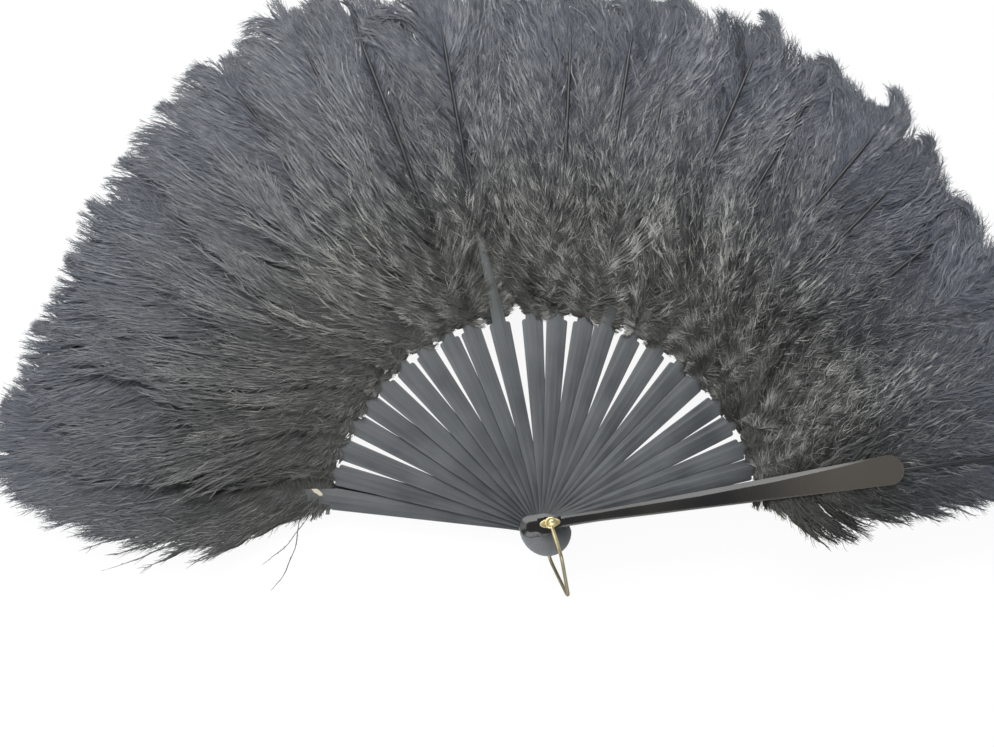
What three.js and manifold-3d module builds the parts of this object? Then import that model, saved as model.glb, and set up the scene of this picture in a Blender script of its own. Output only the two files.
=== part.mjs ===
// Black plume folding fan, spread open and lying flat with its front up.
// Millimetres, +Z up. The rivet axis is Z, and Z = 0 is the flat rear end of the rivet.
import * as THREE from 'three';
import { mergeVertices } from 'three/addons/utils/BufferGeometryUtils.js';
import Module from 'manifold-3d';

const wasm = await Module();
wasm.setup();

// Spread, in degrees from +X towards the left
const frontGuardAngle = 8.7;
const firstStickAngle = 15.1;
const lastStickAngle = 171.6;
const rearGuardAngle = 170.6;
const stickCount = 23;
// How far each stick lies off an even spread, from the front guard to the rear one
const stickLean = [
  -0.5, -1.5, -1.5, -2, -0.7, -2, -1.5, -0.7, -0.2, -1.3, -1, -1.3,
  0.8, 1.9, 1.3, 1.7, 1.5, 1.6, 1, 0.3, 0.7, 0.5, 0,
];

// Sticks
const stickHeadWidth = 6;
const stickHeadRadius = 20;
const stickWidth = 12;
const stickThickness = 0.8;
const tailReach = 16.5;
const shoulderRadius = 118;
const tongueWidth = 7.8;
const tongueLength = 58;
const tongueTipWidth = 3.6;

// Guards
const guardLength = 205;
const guardThickness = 4;
const guardHeadWidth = 12;
const guardHeadLength = 7.5;
const guardShoulderLength = 10;
const guardNeckWidth = 5.8;
const guardNeckLength = 21;
const guardTipWidth = 17;
const guardBevelWidth = 2.4;
const guardBevelHeight = 1.5;
const guardPadDepth = 0.4;

// Plumes
const plumeTipRadius = 325;
const plumeWidestRadius = 232;
const plumeWidth = 88;
const plumeRootWidth = 26;
const plumeRootGap = 6;
const sideTufts = 5;
const tipTufts = 5;
const tuftDepth = 5;
const tuftLean = 4;

// Rivet, washers and bail
const shankDiameter = 2.5;
const ballDiameter = 4.3;
const rearHeadDiameter = 5.4;
const rearHeadHeight = 1.4;
const rearHeadChamfer = 0.5;
const washerLength = 11.5;
const washerWidth = 5;
const washerThickness = 0.5;
const wireDiameter = 2;
const eyeDiameter = 6.4;
const eyeThickness = 1.6;
const bailLength = 40.2;
const bailEndRadius = 3;
const bailAngle = -73;

// Clearances
const layerGap = 0.2;
const pivotClearance = 0.3;
const slotClearance = 0.3;
const bailClearance = 2.5;
const padClearance = 0.75;

// Facets
const holeSides = 10;
const roundSides = 16;
const arcSteps = 5;
const guardSteps = 5;
const wireSides = 8;
const wireSteps = 44;
const legSteps = 5;

// Heights in the pack, from the rear of the rivet up
const rearEyeBase = rearHeadHeight + layerGap;
const rearWasherBase = rearEyeBase + eyeThickness + layerGap;
const rearPadHeight = rearWasherBase + washerThickness + layerGap;
const rearGuardBase = rearPadHeight - guardPadDepth;
const stickBase = rearGuardBase + guardThickness + layerGap;
const stickPitch = stickThickness + layerGap;
const frontGuardBase = stickBase + stickCount * stickPitch;
const frontGuardTop = frontGuardBase + guardThickness;
const frontWasherBase = frontGuardTop - guardPadDepth + layerGap;
const frontEyeBase = frontWasherBase + washerThickness + layerGap;
const ballBase = frontEyeBase + eyeThickness + layerGap;

const holeRadius = shankDiameter / 2 + pivotClearance;
const plumeRootRadius = shoulderRadius + plumeRootGap;
const plumeThickness = stickThickness;
const guardPadLength = washerLength + 2 * padClearance;
const guardRebateDepth = plumeThickness + layerGap;

const lacquerBlack = new THREE.MeshStandardMaterial({ color: 0x17171a, roughness: 0.22, metalness: 0 });
const ebonisedWood = new THREE.MeshStandardMaterial({ color: 0x4a4d50, roughness: 0.55, metalness: 0 });
const dyedPlume = new THREE.MeshStandardMaterial({ color: 0x303136, roughness: 0.8, metalness: 0 });
const brass = new THREE.MeshStandardMaterial({ color: 0xc9a95f, roughness: 0.3, metalness: 1 });

function toSolid(geometry) {
  const bare = geometry.clone();
  bare.deleteAttribute('normal');
  bare.deleteAttribute('uv');
  const merged = mergeVertices(bare);
  const vertProperties = new Float32Array(merged.attributes.position.array);
  const triVerts = new Uint32Array(merged.index.array);
  return new wasm.Manifold(new wasm.Mesh({ numProp: 3, vertProperties, triVerts }));
}

function toGeometry(solid) {
  const mesh = solid.getMesh();
  const geometry = new THREE.BufferGeometry();
  geometry.setAttribute('position', new THREE.BufferAttribute(new Float32Array(mesh.vertProperties), 3));
  geometry.setIndex(new THREE.BufferAttribute(new Uint32Array(mesh.triVerts), 1));
  geometry.computeVertexNormals();
  return geometry;
}

function plate(shape, thickness) {
  return new THREE.ExtrudeGeometry(shape, {
    depth: thickness,
    bevelEnabled: false,
    curveSegments: arcSteps,
  });
}

function block(fromX, toX, width, fromZ, toZ) {
  const geometry = new THREE.BoxGeometry(toX - fromX, width, toZ - fromZ);
  return geometry.translate((fromX + toX) / 2, 0, (fromZ + toZ) / 2);
}

function pivotHole() {
  const hole = new THREE.Path();
  for (let side = 0; side <= holeSides; side += 1) {
    const turn = (-2 * Math.PI * side) / holeSides;
    const point = [holeRadius * Math.cos(turn), holeRadius * Math.sin(turn)];
    if (side === 0) hole.moveTo(...point);
    else hole.lineTo(...point);
  }
  return hole;
}

// A slat with a rounded tail that widens from its head to its shoulder,
// and steps in there to the tapered tongue that the quill is bound to
function stickGeometry() {
  const headHalf = stickHeadWidth / 2;
  const half = stickWidth / 2;
  const tongueEnd = shoulderRadius + tongueLength;
  const shape = new THREE.Shape();
  shape.absarc(headHalf - tailReach, 0, headHalf, Math.PI / 2, (3 * Math.PI) / 2);
  shape.lineTo(stickHeadRadius, -headHalf);
  shape.lineTo(shoulderRadius, -half);
  shape.lineTo(shoulderRadius, -tongueWidth / 2);
  shape.lineTo(tongueEnd, -tongueTipWidth / 2);
  shape.lineTo(tongueEnd, tongueTipWidth / 2);
  shape.lineTo(shoulderRadius, tongueWidth / 2);
  shape.lineTo(shoulderRadius, half);
  shape.lineTo(stickHeadRadius, headHalf);
  shape.holes.push(pivotHole());
  return plate(shape, stickThickness);
}

// One edge of the plume, from root to tip: it swells from the quill and closes in a round tip.
// Its barbs gather in tufts that point outwards, with a notch after each.
function plumeEdge(side) {
  const full = plumeWidth / 2;
  const root = plumeRootWidth / 2;
  const points = [[plumeRootRadius, side * root]];
  for (let tuft = 1; tuft <= sideTufts; tuft += 1) {
    const rise = tuft / (sideTufts + 1);
    const radius = plumeRootRadius + rise * (plumeWidestRadius - plumeRootRadius);
    const half = root + (full - root) * Math.sin((rise * Math.PI) / 2);
    points.push([radius, side * half]);
    points.push([radius + tuftLean, side * (half - tuftDepth)]);
  }
  for (let tuft = 0; tuft < tipTufts; tuft += 1) {
    const turn = (tuft * Math.PI) / 2 / tipTufts;
    const radius = plumeWidestRadius + (plumeTipRadius - plumeWidestRadius) * Math.sin(turn);
    const half = full * Math.cos(turn);
    points.push([radius, side * half]);
    points.push([radius + tuftLean * Math.cos(turn), side * (half - tuftDepth)]);
  }
  return points;
}

// The plume is flat and no thicker than its stick, so that it passes its neighbours as the fan shuts
function plumeGeometry(hasTongueSlot) {
  const outline = [...plumeEdge(-1), [plumeTipRadius, 0], ...plumeEdge(1).reverse()];
  if (hasTongueSlot) {
    const rootShare = plumeRootGap / tongueLength;
    const tongueAtRoot = tongueWidth + (tongueTipWidth - tongueWidth) * rootShare;
    const slotHalf = tongueAtRoot / 2 + slotClearance;
    const slotTipHalf = tongueTipWidth / 2 + slotClearance;
    const slotEnd = shoulderRadius + tongueLength + slotClearance;
    outline.push([plumeRootRadius, slotHalf]);
    outline.push([slotEnd, slotTipHalf]);
    outline.push([slotEnd, -slotTipHalf]);
    outline.push([plumeRootRadius, -slotHalf]);
  }
  const shape = new THREE.Shape(outline.map(([x, y]) => new THREE.Vector2(x, y)));
  return plate(shape, plumeThickness);
}

// A rounded head, a slim neck and a long flare to the round tip: one edge is drawn, the other mirrors it
function guardShape() {
  const head = guardHeadWidth / 2;
  const neck = guardNeckWidth / 2;
  const tip = guardTipWidth / 2;
  const tailCentre = head - tailReach;
  const headEnd = tailCentre + guardHeadLength;
  const neckStart = headEnd + guardShoulderLength;
  const neckEnd = neckStart + guardNeckLength;
  const tipCentre = guardLength - tip;
  const headPull = guardShoulderLength / 2;
  const edge = new THREE.Path();
  edge.absarc(tailCentre, 0, head, Math.PI, (3 * Math.PI) / 2);
  edge.lineTo(headEnd, -head);
  edge.bezierCurveTo(headEnd + headPull, -head, neckStart - headPull, -neck, neckStart, -neck);
  edge.lineTo(neckEnd, -neck);
  edge.lineTo(tipCentre, -tip);
  edge.absarc(tipCentre, 0, tip, -Math.PI / 2, 0);
  const lower = edge.getPoints(guardSteps);
  const upper = lower.slice(1, -1).reverse().map((point) => new THREE.Vector2(point.x, -point.y));
  return new THREE.Shape([...lower, ...upper]);
}

// A guard with its crowned face up: bevelled edges, a pad for the washer, and a rebate behind for its plume
function guardGeometry() {
  const margin = guardTipWidth;
  const blank = new THREE.ExtrudeGeometry(guardShape(), {
    depth: guardThickness,
    bevelEnabled: true,
    bevelThickness: guardBevelHeight,
    bevelSize: guardBevelWidth,
    bevelOffset: -guardBevelWidth,
    bevelSegments: 2,
  });
  blank.translate(0, 0, -guardBevelHeight);
  const across = guardHeadWidth + guardTipWidth;
  const below = block(-tailReach - margin, guardLength + margin, across, -margin, 0);
  const padBase = guardThickness - guardPadDepth;
  const pad = block(-guardPadLength / 2, guardPadLength / 2, across, padBase, guardThickness + margin);
  const rebateStart = plumeRootRadius - slotClearance;
  const rebate = block(rebateStart, guardLength + margin, across, -margin, guardRebateDepth);
  const bore = new THREE.CylinderGeometry(holeRadius, holeRadius, 3 * guardThickness, holeSides);
  bore.rotateX(Math.PI / 2);
  let solid = toSolid(blank);
  for (const cut of [below, pad, rebate, bore]) solid = solid.subtract(toSolid(cut));
  return toGeometry(solid);
}

function washerGeometry() {
  const shape = new THREE.Shape();
  shape.absellipse(0, 0, washerLength / 2, washerWidth / 2, 0, 2 * Math.PI);
  shape.holes.push(pivotHole());
  return plate(shape, washerThickness);
}

// Flat rear head, plain shank and ball head, turned in one piece
function rivetGeometry() {
  const shank = shankDiameter / 2;
  const ball = ballDiameter / 2;
  const rearHead = rearHeadDiameter / 2;
  const ballCentre = ballBase + Math.sqrt(ball ** 2 - shank ** 2);
  const profile = [
    [0, 0],
    [rearHead - rearHeadChamfer, 0],
    [rearHead, rearHeadChamfer],
    [rearHead, rearHeadHeight],
    [shank, rearHeadHeight],
  ];
  const startTurn = -Math.acos(shank / ball);
  for (let step = 0; step < arcSteps; step += 1) {
    const turn = startTurn + ((Math.PI / 2 - startTurn) * step) / arcSteps;
    profile.push([ball * Math.cos(turn), ballCentre + ball * Math.sin(turn)]);
  }
  profile.push([0, ballCentre + ball]);
  const geometry = new THREE.LatheGeometry(profile.map(([x, y]) => new THREE.Vector2(x, y)), roundSides);
  return geometry.rotateX(Math.PI / 2);
}

// The line of the bail's wire: two legs run straight past the tails, then draw in to a small round end
function bailLine() {
  const rearEyeHeight = rearEyeBase + eyeThickness / 2;
  const frontEyeHeight = frontEyeBase + eyeThickness / 2;
  const middle = (rearEyeHeight + frontEyeHeight) / 2;
  const legHalf = (frontEyeHeight - rearEyeHeight) / 2;
  const legStart = (holeRadius + eyeDiameter / 2) / 2;
  const bend = tailReach + bailClearance;
  const endCentre = bailLength - wireDiameter / 2 - bailEndRadius;
  const span = Math.hypot(endCentre - bend, legHalf);
  const slope = Math.atan2(legHalf, endCentre - bend) - Math.asin(bailEndRadius / span);
  const meet = [endCentre + bailEndRadius * Math.sin(slope), bailEndRadius * Math.cos(slope)];
  const leg = [];
  for (let step = 0; step < legSteps; step += 1) {
    leg.push([legStart + ((bend - legStart) * step) / legSteps, legHalf]);
  }
  for (let step = 0; step < legSteps; step += 1) {
    const share = step / legSteps;
    leg.push([bend + (meet[0] - bend) * share, legHalf + (meet[1] - legHalf) * share]);
  }
  const end = [];
  for (let step = 0; step <= arcSteps; step += 1) {
    const turn = (Math.PI / 2 - slope) * (1 - (2 * step) / arcSteps);
    end.push([endCentre + bailEndRadius * Math.cos(turn), bailEndRadius * Math.sin(turn)]);
  }
  const backLeg = leg.map(([reach, height]) => [reach, -height]).reverse();
  const line = [...leg, ...end, ...backLeg];
  return line.map(([reach, height]) => new THREE.Vector3(reach, 0, middle + height));
}

// One wire that leaves a flattened eye at each end of the rivet
function bailGeometry() {
  const section = new THREE.Shape();
  section.absarc(0, 0, wireDiameter / 2, 0, 2 * Math.PI);
  const wire = new THREE.ExtrudeGeometry(section, {
    steps: wireSteps,
    curveSegments: wireSides / 2,
    extrudePath: new THREE.CatmullRomCurve3(bailLine()),
  });
  const ring = new THREE.Shape();
  ring.absarc(0, 0, eyeDiameter / 2, 0, 2 * Math.PI);
  const eye = plate(ring, eyeThickness);
  const bore = new THREE.CylinderGeometry(holeRadius, holeRadius, 3 * ballBase, holeSides);
  bore.rotateX(Math.PI / 2);
  let solid = toSolid(wire);
  solid = solid.add(toSolid(eye.clone().translate(0, 0, rearEyeBase)));
  solid = solid.add(toSolid(eye.clone().translate(0, 0, frontEyeBase)));
  return toGeometry(solid.subtract(toSolid(bore)));
}

const fan = new THREE.Group();

function place(name, geometry, material, height, angle) {
  const mesh = new THREE.Mesh(geometry, material.clone());
  mesh.name = name;
  mesh.position.z = height;
  mesh.rotation.z = THREE.MathUtils.degToRad(angle);
  fan.add(mesh);
  return mesh;
}

const stick = stickGeometry();
const stickPlume = plumeGeometry(true);
const stickSpread = (lastStickAngle - firstStickAngle) / (stickCount - 1);
for (let index = 0; index < stickCount; index += 1) {
  const number = String(index + 1).padStart(2, '0');
  const angle = firstStickAngle + index * stickSpread + (stickLean[index] ?? 0);
  const height = stickBase + (stickCount - 1 - index) * stickPitch;
  place(`stick_${number}`, stick, ebonisedWood, height, angle);
  place(`feather_${number}`, stickPlume, dyedPlume, height, angle);
}

const guard = guardGeometry();
const guardPlume = plumeGeometry(false);
place('front_guard', guard, lacquerBlack, frontGuardBase, frontGuardAngle);
place('front_guard_feather', guardPlume, dyedPlume, frontGuardBase, frontGuardAngle);

// The rear guard is the front one turned over, with its crowned face down
const rearGuard = place('rear_guard', guard, lacquerBlack, rearGuardBase + guardThickness, rearGuardAngle);
rearGuard.rotation.order = 'ZYX';
rearGuard.rotation.x = Math.PI;
const rearPlumeBase = rearGuardBase + guardThickness - plumeThickness;
place('rear_guard_feather', guardPlume, dyedPlume, rearPlumeBase, rearGuardAngle);

const washer = washerGeometry();
place('front_washer', washer, brass, frontWasherBase, frontGuardAngle);
place('rear_washer', washer, brass, rearWasherBase, rearGuardAngle);
place('rivet', rivetGeometry(), brass, 0, 0);
place('bail', bailGeometry(), brass, 0, bailAngle);

export default fan;
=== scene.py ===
import math

import bmesh
import bpy
import numpy as np
from mathutils import Matrix, Vector


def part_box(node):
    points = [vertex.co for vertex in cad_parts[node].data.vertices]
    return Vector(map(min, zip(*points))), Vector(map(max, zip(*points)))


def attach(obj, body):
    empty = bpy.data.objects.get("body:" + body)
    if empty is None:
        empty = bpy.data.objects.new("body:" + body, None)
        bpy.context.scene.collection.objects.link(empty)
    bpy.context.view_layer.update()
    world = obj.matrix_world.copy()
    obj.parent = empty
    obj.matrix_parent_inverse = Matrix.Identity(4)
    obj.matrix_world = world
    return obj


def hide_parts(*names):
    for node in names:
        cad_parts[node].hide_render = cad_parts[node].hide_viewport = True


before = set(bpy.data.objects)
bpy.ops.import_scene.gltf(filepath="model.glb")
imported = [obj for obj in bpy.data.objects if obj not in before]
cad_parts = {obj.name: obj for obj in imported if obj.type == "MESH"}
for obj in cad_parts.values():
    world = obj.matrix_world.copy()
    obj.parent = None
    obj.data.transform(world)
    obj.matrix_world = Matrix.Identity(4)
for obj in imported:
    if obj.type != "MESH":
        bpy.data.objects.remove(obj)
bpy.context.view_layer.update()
mm = 0.001
weldGap = 1e-7  # m, points closer than this become one
holeSteps = 24  # points round a hole or a slat's tail
reliefDepth = 0.1 * mm  # of every bump pattern
mostNoise = {"From Min": 0.35, "From Max": 0.7}  # where most of a noise pattern's values lie
stickNumbers = [f"{count:02d}" for count in range(1, 24)]


def hexToLinear(hexColour):
    channels = [int(hexColour[i:i + 2], 16) / 255 for i in (1, 3, 5)]
    linear = [c / 12.92 if c <= 0.04045 else ((c + 0.055) / 1.055) ** 2.4 for c in channels]
    return (*linear, 1.0)


def addNode(tree, kind, values=None, links=None, **settings):
    node = tree.nodes.new(kind)
    for key, value in settings.items():
        setattr(node, key, value)
    for socket, value in (values or {}).items():
        node.inputs[socket].default_value = value
    for socket, source in (links or {}).items():
        tree.links.new(source, node.inputs[socket])
    return node


def setRamp(node, stops):
    elements = node.color_ramp.elements
    while len(elements) < len(stops):
        elements.new(0.5)
    for element, (place, colour) in zip(elements, stops):
        element.position = place
        element.color = hexToLinear(colour)


def newMaterial(name, **values):
    material = bpy.data.materials.new(name)
    material.use_nodes = True
    tree = material.node_tree
    tree.nodes.clear()
    sockets = {key.replace("_", " "): value for key, value in values.items()}
    shader = addNode(tree, "ShaderNodeBsdfPrincipled", sockets)
    addNode(tree, "ShaderNodeOutputMaterial", links={"Surface": shader.outputs[0]})
    return material, tree, shader


def linkShader(tree, shader, **sources):  # what feeds each of the shader's sockets
    for key, source in sources.items():
        tree.links.new(source, shader.inputs[key.replace("_", " ")])


def perMetre(sizeInMm):
    return 1 / (sizeInMm * mm)  # a pattern's scale from the real size of one repeat


# Camera, fitted to the sticks' ends and the rivet in the photo's 994 x 747 frame
cameraFit = dict(
    fromLeft=7.4, fromBelow=12.3, roll=-0.9,  # degrees off straight above
    target=(-25.7, 85.8, 20.0), distance=841.0,  # mm
    lens=54.3, sensor=36.0, clipStart=0.01,  # clip in m
)


def placeCamera():
    turn, tilt, roll = (math.radians(cameraFit[key]) for key in ("fromLeft", "fromBelow", "roll"))
    back = Vector((-math.sin(turn) * math.cos(tilt), -math.sin(tilt), math.cos(turn) * math.cos(tilt)))
    flatRight = Vector((0, 1, 0)).cross(back).normalized()
    flatUp = back.cross(flatRight)
    right = flatRight * math.cos(roll) + flatUp * math.sin(roll)
    up = flatUp * math.cos(roll) - flatRight * math.sin(roll)
    spot = (Vector(cameraFit["target"]) + back * cameraFit["distance"]) * mm
    data = bpy.data.cameras.new("camera")
    data.lens = cameraFit["lens"]
    data.sensor_width = cameraFit["sensor"]
    data.clip_start = cameraFit["clipStart"]
    camera = bpy.data.objects.new("camera", data)
    camera.matrix_world = Matrix.Translation(spot) @ Matrix((right, up, back)).transposed().to_4x4()
    bpy.context.scene.collection.objects.link(camera)
    bpy.context.scene.camera = camera


placeCamera()
print("camera placed")


# Ostrich plume, dyed black: limp strands with a silky gleam, browner near the root and bluer at the rim
plumeDye = dict(
    dark="#111213", middle="#414241", light="#8d8d89", brown="#4a483f", blue="#585e6a",
    brownFrom=120.0, brownTo=190.0, brownMost=0.6,  # mm from the rivet, and the largest share
    blueFrom=190.0, blueTo=290.0, blueMost=0.65,
    patch=45.0,  # mm across a patch of thin dye
    roughDark=0.5, roughLight=0.34, sheen=0.12, sheenRough=0.4,
)


def dyedOstrichPlume():
    material, tree, shader = newMaterial("dyed ostrich plume", IOR=1.55, Sheen_Weight=plumeDye["sheen"],
                                         Sheen_Roughness=plumeDye["sheenRough"])
    tone = addNode(tree, "ShaderNodeAttribute", attribute_name="tone")
    place = addNode(tree, "ShaderNodeTexCoord")
    patches = addNode(tree, "ShaderNodeTexNoise", {"Scale": perMetre(plumeDye["patch"]), "Detail": 3.0},
                      {"Vector": place.outputs["Object"]})
    shade = addNode(tree, "ShaderNodeValToRGB", links={"Fac": tone.outputs["Fac"]})
    setRamp(shade, [(0.0, plumeDye["dark"]), (0.5, plumeDye["middle"]), (1.0, plumeDye["light"])])
    parts = addNode(tree, "ShaderNodeSeparateXYZ", links={0: place.outputs["Object"]})
    inner = addNode(tree, "ShaderNodeMapRange",
                    {"From Min": plumeDye["brownTo"] * mm, "From Max": plumeDye["brownFrom"] * mm,
                     "To Max": plumeDye["brownMost"]}, {"Value": parts.outputs["X"]})
    outer = addNode(tree, "ShaderNodeMapRange",
                    {"From Min": plumeDye["blueFrom"] * mm, "From Max": plumeDye["blueTo"] * mm,
                     "To Max": plumeDye["blueMost"]}, {"Value": parts.outputs["X"]})
    paintedSheen = addNode(tree, "ShaderNodeMapRange", mostNoise, {"Value": patches.outputs["Fac"]})
    browned = addNode(tree, "ShaderNodeMath", links={0: inner.outputs[0], 1: paintedSheen.outputs[0]},
                      operation="MULTIPLY")
    colour = shade.outputs["Color"]
    for share, dye in ((browned, "brown"), (outer, "blue")):
        layer = addNode(tree, "ShaderNodeMix", {7: hexToLinear(plumeDye[dye])},
                        {0: share.outputs[0], 6: colour}, data_type="RGBA")
        colour = layer.outputs[2]
    gloss = addNode(tree, "ShaderNodeMapRange",
                    {"To Min": plumeDye["roughDark"], "To Max": plumeDye["roughLight"]},
                    {"Value": tone.outputs["Fac"]})
    linkShader(tree, shader, Base_Color=colour, Roughness=gloss.outputs[0])
    return material


# Plume shaft, dyed horn: smooth and harder than the strands, with faint lengthwise flutes
quillDye = dict(
    dark="#0f1012", light="#232427",
    flute=0.8, drawnOut=0.06, relief=0.3,  # mm, coarser than the real flutes so that they show
)


def dyedQuill():
    material, tree, shader = newMaterial("dyed quill horn", IOR=1.55, Roughness=0.34)
    place = addNode(tree, "ShaderNodeTexCoord")
    along = addNode(tree, "ShaderNodeMapping", {"Scale": (quillDye["drawnOut"], 1.0, 1.0)},
                    {"Vector": place.outputs["Object"]})
    flutes = addNode(tree, "ShaderNodeTexNoise", {"Scale": perMetre(quillDye["flute"]), "Detail": 2.0},
                     {"Vector": along.outputs[0]})
    shade = addNode(tree, "ShaderNodeValToRGB", links={"Fac": flutes.outputs["Fac"]})
    setRamp(shade, [(0.3, quillDye["dark"]), (0.7, quillDye["light"])])
    raised = addNode(tree, "ShaderNodeBump", {"Strength": quillDye["relief"], "Distance": reliefDepth},
                     {"Height": flutes.outputs["Fac"]})
    linkShader(tree, shader, Base_Color=shade.outputs["Color"], Normal=raised.outputs[0])
    return material


# Sticks
slat = dict(
    headWidth=6.0, headRadius=20.0, width=12.0, tail=16.5, shoulder=118.0,  # mm
    tongueWidth=7.8, tongueTip=3.6, hole=1.55, easedEdge=0.09,
    shoulderEase=1.3, easeLeft=0.3,  # cut from a shoulder's corner, and the share left at the cut's middle
    splinter=[(134.0, -3.2), (118.0, -5.6)],  # left standing beside the last slat's tongue
    chip=dict(centre=(126.8, -2.7, 0.0), turn=-27.0, length=5.0, width=1.5, ragged=0.9, edge=(1.3, 1.15)),
)


# Hardwood slat stained black and waxed: satin, with grain along the slat, edges lighter from rubbing and a
# painted highlight, painted light on the tails and painted shade on the tongue
slatStain = dict(
    dark="#35383a", light="#4e5153", rubbedAndLitEdge="#65686b",
    paintedLightTail="#838688", tongue="#2e3130", bare="#aca591",
    grain=0.9, grainShare=0.55,  # mm between grain lines, about twice the real pitch so that it shows
    drawnOut=0.035,  # scale of the grain along the slat, against across it
    blotch=28.0, scratch=0.5, relief=0.22,
    rubAndHighlightWidth=0.55, rubAndHighlightFrom=35.0, rubAndHighlightTo=95.0, raggedFrom=0.42, raggedTo=0.68,  # mm, and shares of the grain
    tailFrom=-2.0, tailTo=-9.0, paintedLightTailMost=0.85, tongueFade=9.0, tongueShadeMost=0.7,  # mm, and largest shares
    glossFrom=0.3, glossTo=0.7, roughLow=0.42, roughHigh=0.58,
)


def ebonisedWood(name, chip=None):
    material, tree, shader = newMaterial(name, IOR=1.5)
    place = addNode(tree, "ShaderNodeTexCoord")
    each = addNode(tree, "ShaderNodeObjectInfo")
    shift = addNode(tree, "ShaderNodeVectorMath",
                    links={0: place.outputs["Object"], 1: each.outputs["Random"]})
    along = addNode(tree, "ShaderNodeMapping", {"Scale": (slatStain["drawnOut"], 1.0, 1.0)},
                    {"Vector": shift.outputs[0]})
    grain = addNode(tree, "ShaderNodeTexNoise", {"Scale": perMetre(slatStain["grain"]), "Detail": 4.0},
                    {"Vector": along.outputs[0]})
    blotch = addNode(tree, "ShaderNodeTexNoise", {"Scale": perMetre(slatStain["blotch"]), "Detail": 4.0},
                     {"Vector": shift.outputs[0]})
    mixed = addNode(tree, "ShaderNodeMath", {1: slatStain["grainShare"]},
                    {0: grain.outputs["Fac"], 2: blotch.outputs["Fac"]}, operation="MULTIPLY_ADD")
    stain = addNode(tree, "ShaderNodeValToRGB", links={"Fac": mixed.outputs[0]})
    setRamp(stain, [(0.52, slatStain["dark"]), (1.0, slatStain["light"])])
    parts = addNode(tree, "ShaderNodeSeparateXYZ", links={0: place.outputs["Object"]})
    across = addNode(tree, "ShaderNodeMath", links={0: parts.outputs["Y"]}, operation="ABSOLUTE")
    inner = addNode(tree, "ShaderNodeMapRange",
                    {"From Min": slat["headRadius"] * mm, "From Max": slat["shoulder"] * mm,
                     "To Min": (slat["headWidth"] / 2 - slatStain["rubAndHighlightWidth"]) * mm,
                     "To Max": (slat["width"] / 2 - slatStain["rubAndHighlightWidth"]) * mm},
                    {"Value": parts.outputs["X"]})
    past = addNode(tree, "ShaderNodeMath", links={0: across.outputs[0], 1: inner.outputs[0]},
                   operation="SUBTRACT")
    # lighter edges: rubbed wear and a painted edge highlight, fading in away from the rivet
    rubbedAndLitEdge = addNode(tree, "ShaderNodeMapRange", {"From Max": slatStain["rubAndHighlightWidth"] * mm},
                     {"Value": past.outputs[0]})
    ragged = addNode(tree, "ShaderNodeMapRange",
                     {"From Min": slatStain["raggedFrom"], "From Max": slatStain["raggedTo"]},
                     {"Value": grain.outputs["Fac"]})
    spaced = addNode(tree, "ShaderNodeMapRange",
                     {"From Min": slatStain["rubAndHighlightFrom"] * mm, "From Max": slatStain["rubAndHighlightTo"] * mm},
                     {"Value": parts.outputs["X"]})
    for limit in (ragged, spaced):
        rubbedAndLitEdge = addNode(tree, "ShaderNodeMath", links={0: rubbedAndLitEdge.outputs[0], 1: limit.outputs[0]},
                         operation="MULTIPLY")
    # painted light: the tails lightened where the guard's head shades them
    tail = addNode(tree, "ShaderNodeMapRange",
                   {"From Min": slatStain["tailFrom"] * mm, "From Max": slatStain["tailTo"] * mm,
                    "To Max": slatStain["paintedLightTailMost"]}, {"Value": parts.outputs["X"]})
    # painted shade: the tongue darkened where the plumes above shade it
    end = addNode(tree, "ShaderNodeMapRange",
                  {"From Min": slat["shoulder"] * mm,
                   "From Max": (slat["shoulder"] + slatStain["tongueFade"]) * mm,
                   "To Max": slatStain["tongueShadeMost"]}, {"Value": parts.outputs["X"]})
    layers = [(rubbedAndLitEdge, "rubbedAndLitEdge"), (tail, "paintedLightTail"), (end, "tongue")]
    if chip:  # a splinter lost from the end of the slat, down to bare wood
        squeeze = addNode(tree, "ShaderNodeMapping",
                          {"Location": Vector(chip["centre"]) * mm,
                           "Rotation": (0, 0, math.radians(chip["turn"])),
                           "Scale": (chip["length"] * mm, chip["width"] * mm, 1.0)},
                          {"Vector": place.outputs["Object"]}, vector_type="TEXTURE")
        reach = addNode(tree, "ShaderNodeVectorMath", links={0: squeeze.outputs[0]}, operation="LENGTH")
        torn = addNode(tree, "ShaderNodeMath", {1: chip["ragged"]},
                       {0: grain.outputs["Fac"], 2: reach.outputs["Value"]}, operation="MULTIPLY_ADD")
        bare = addNode(tree, "ShaderNodeMapRange", dict(zip(("From Min", "From Max"), chip["edge"])),
                       {"Value": torn.outputs[0]})
        layers.append((bare, "bare"))
    colour = stain.outputs["Color"]
    for share, finish in layers:
        layer = addNode(tree, "ShaderNodeMix", {7: hexToLinear(slatStain[finish])},
                        {0: share.outputs[0], 6: colour}, data_type="RGBA")
        colour = layer.outputs[2]
    scuff = addNode(tree, "ShaderNodeTexNoise", {"Scale": perMetre(slatStain["scratch"]), "Detail": 2.0},
                    {"Vector": along.outputs[0]})
    gloss = addNode(tree, "ShaderNodeMapRange",
                    {"From Min": slatStain["glossFrom"], "From Max": slatStain["glossTo"],
                     "To Min": slatStain["roughLow"], "To Max": slatStain["roughHigh"]},
                    {"Value": blotch.outputs["Fac"]})
    relief = addNode(tree, "ShaderNodeBump", {"Strength": slatStain["relief"], "Distance": reliefDepth},
                     {"Height": scuff.outputs["Fac"]})
    linkShader(tree, shader, Base_Color=colour, Roughness=gloss.outputs[0], Normal=relief.outputs[0])
    return material


# Hardwood lacquered black and polished: near black with a soft gloss, painted lighter and browner towards
# the tip as a painted sheen
lacquer = dict(
    deep="#1c1c1e", thin="#26241f", paintedSheen="#45423d",
    paintedSheenFrom=95.0, paintedSheenTo=170.0,  # mm from the rivet
    handled=38.0, speck=0.7, relief=0.05, roughLow=0.2, roughHigh=0.34,
)


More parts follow.
